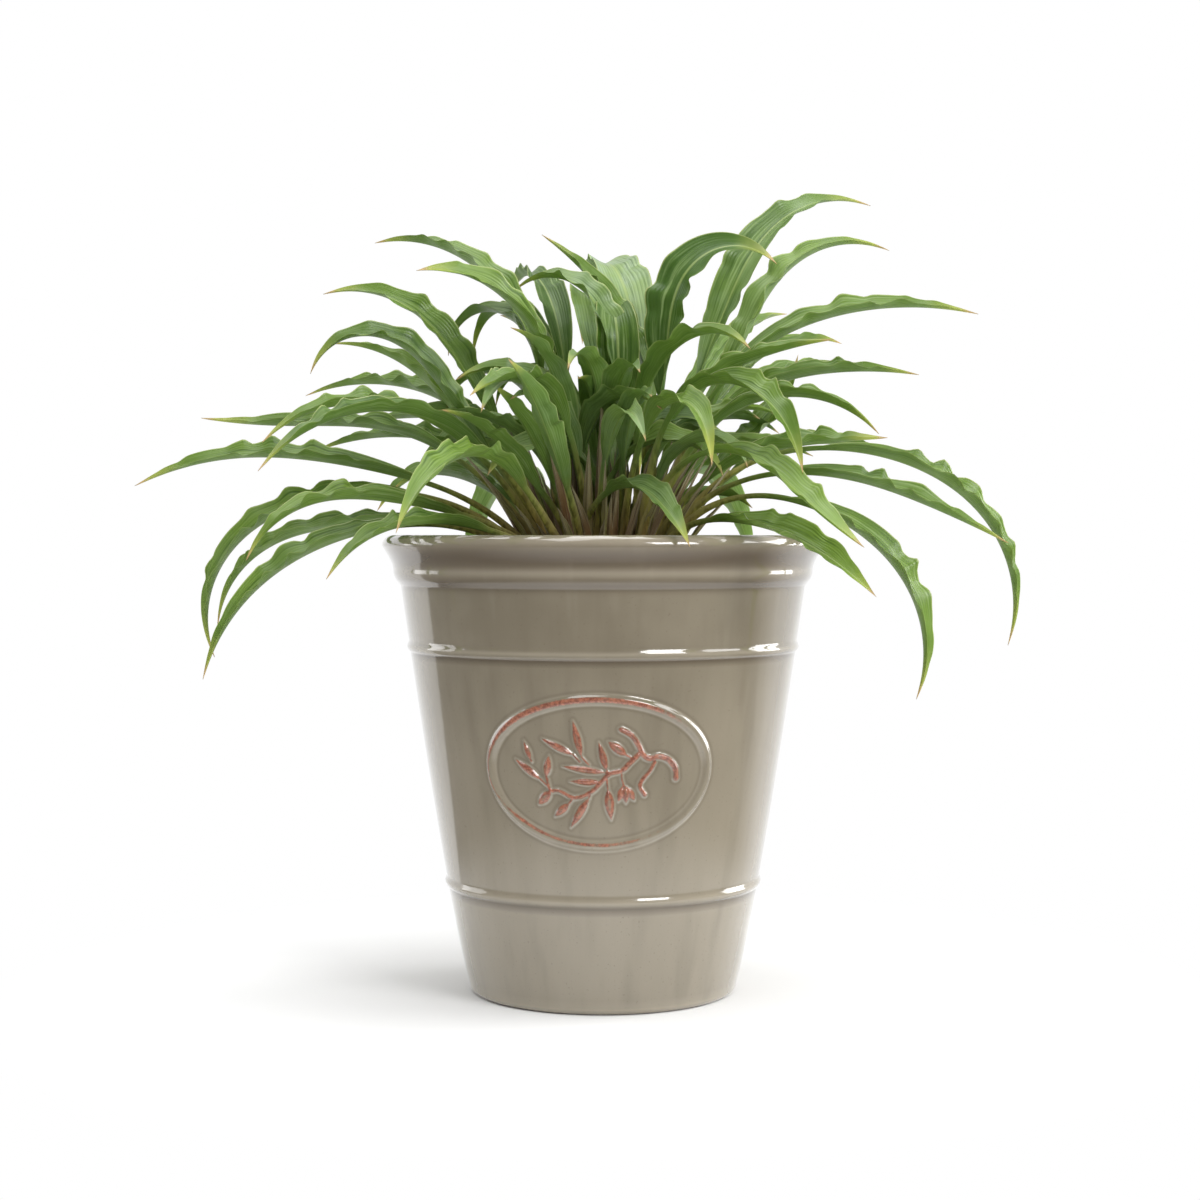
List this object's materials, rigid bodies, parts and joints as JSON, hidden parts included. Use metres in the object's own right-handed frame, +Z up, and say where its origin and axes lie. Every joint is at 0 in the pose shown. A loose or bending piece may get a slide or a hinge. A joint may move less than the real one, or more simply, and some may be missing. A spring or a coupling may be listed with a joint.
{
  "type": "potted hosta",
  "caption": "Clump of narrow wavy-leaved hosta in a round tapered glazed clay pot with a rolled rim, raised rings and an oval medallion.",
  "frame": {"origin": "middle of the pot's foot, on the surface that it stands on", "axes": "+Z up along the pot's own axis, -Y towards the front, the side with the medallion"},
  "size_m": [0.4772, 0.396, 0.4407],
  "materials": {
    "glazed_clay": "gloss",
    "potting_mix": "matte",
    "crown_skin": "matte",
    "leaf": "satin"
  },
  "bodies": {
    "root": {"pot": "glazed_clay", "soil": "potting_mix", "crown": "crown_skin", "leaf_01": "leaf", "leaf_02": "leaf", "leaf_03": "leaf", "leaf_04": "leaf", "leaf_05": "leaf", "leaf_06": "leaf", "leaf_07": "leaf", "leaf_08": "leaf", "leaf_09": "leaf", "leaf_10": "leaf", "leaf_11": "leaf", "leaf_12": "leaf", "leaf_13": "leaf", "leaf_14": "leaf", "leaf_15": "leaf", "leaf_16": "leaf", "leaf_17": "leaf", "leaf_18": "leaf", "leaf_19": "leaf", "leaf_20": "leaf", "leaf_21": "leaf", "leaf_22": "leaf", "leaf_23": "leaf", "leaf_24": "leaf", "leaf_25": "leaf", "leaf_26": "leaf", "leaf_27": "leaf", "leaf_28": "leaf", "leaf_29": "leaf", "leaf_30": "leaf", "leaf_31": "leaf", "leaf_32": "leaf", "leaf_33": "leaf", "leaf_34": "leaf", "leaf_35": "leaf", "leaf_36": "leaf", "leaf_37": "leaf", "leaf_38": "leaf", "leaf_39": "leaf", "leaf_40": "leaf", "leaf_41": "leaf", "leaf_42": "leaf", "leaf_43": "leaf", "leaf_44": "leaf", "leaf_45": "leaf", "leaf_46": "leaf", "leaf_47": "leaf", "leaf_48": "leaf", "leaf_49": "leaf", "leaf_50": "leaf", "leaf_51": "leaf", "leaf_52": "leaf", "leaf_53": "leaf", "leaf_54": "leaf", "leaf_55": "leaf", "leaf_56": "leaf", "leaf_57": "leaf"}
  },
  "joints": []
}
